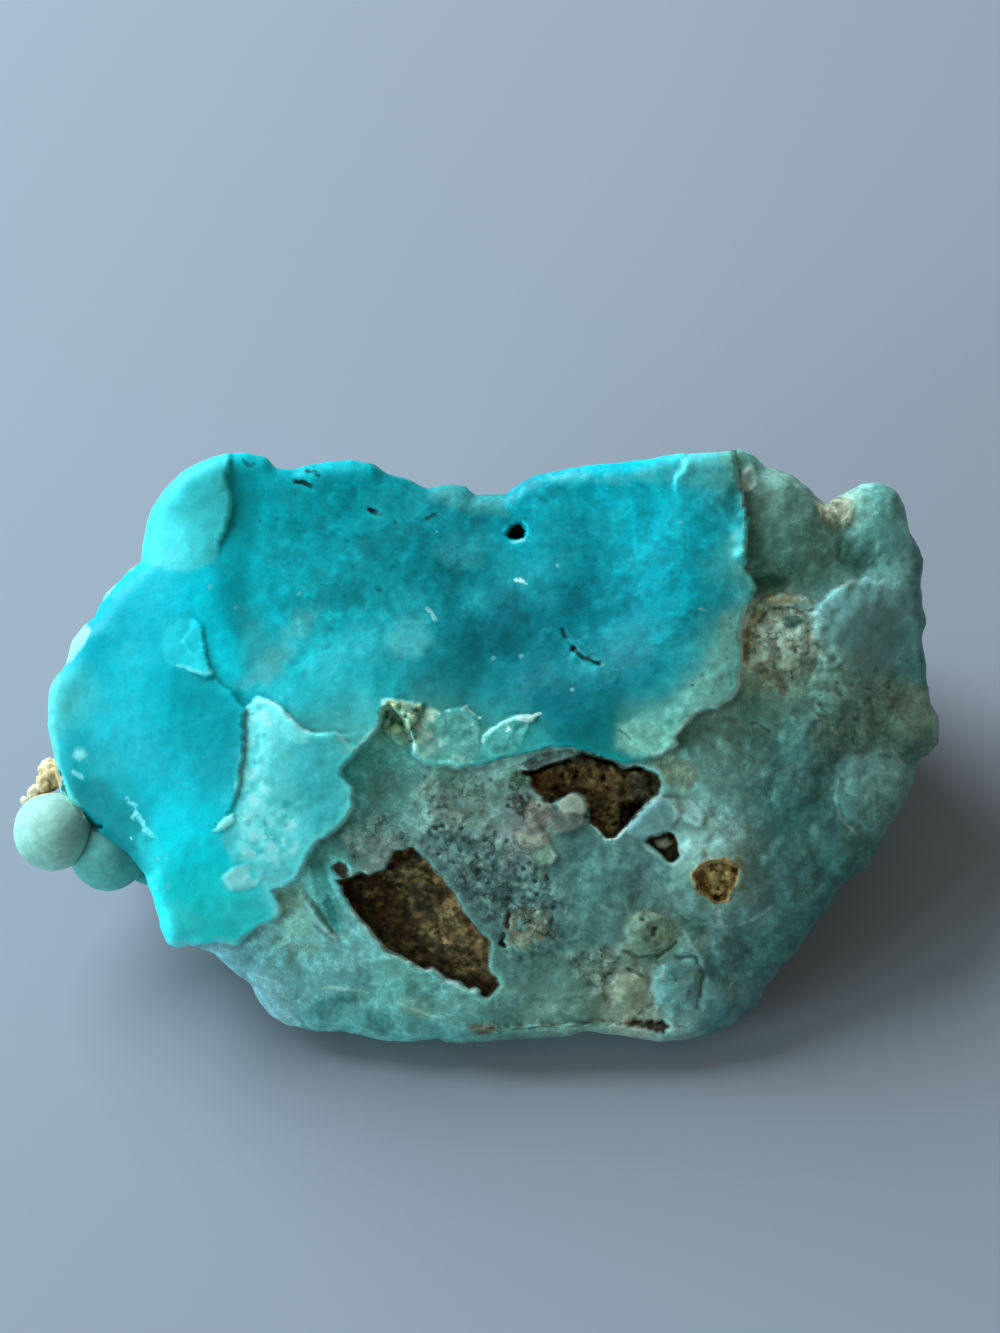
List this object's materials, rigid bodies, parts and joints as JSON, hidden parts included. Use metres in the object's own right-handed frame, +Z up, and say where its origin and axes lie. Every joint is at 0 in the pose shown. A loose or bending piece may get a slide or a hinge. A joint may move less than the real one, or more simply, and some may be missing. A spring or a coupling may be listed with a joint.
{
  "type": "raw hemimorphite",
  "caption": "Raw lump of blue hemimorphite with a broken shell of waxy blue, pale rims, brown pockets and rounded botryoidal lumps; lies on a flat foot for display.",
  "frame": {"origin": "under the middle of the stone's bounding box, on the surface that it lies on", "axes": "+Z up, +X along the stone's length towards its green botryoidal end, -Y towards its display side"},
  "size_m": [0.0546, 0.0319, 0.0229],
  "materials": {
    "stone": "waxy mineral, blue on the shell, grey-green below it and brown in the pockets"
  },
  "bodies": {
    "root": {"hemimorphite": "stone"}
  },
  "joints": []
}
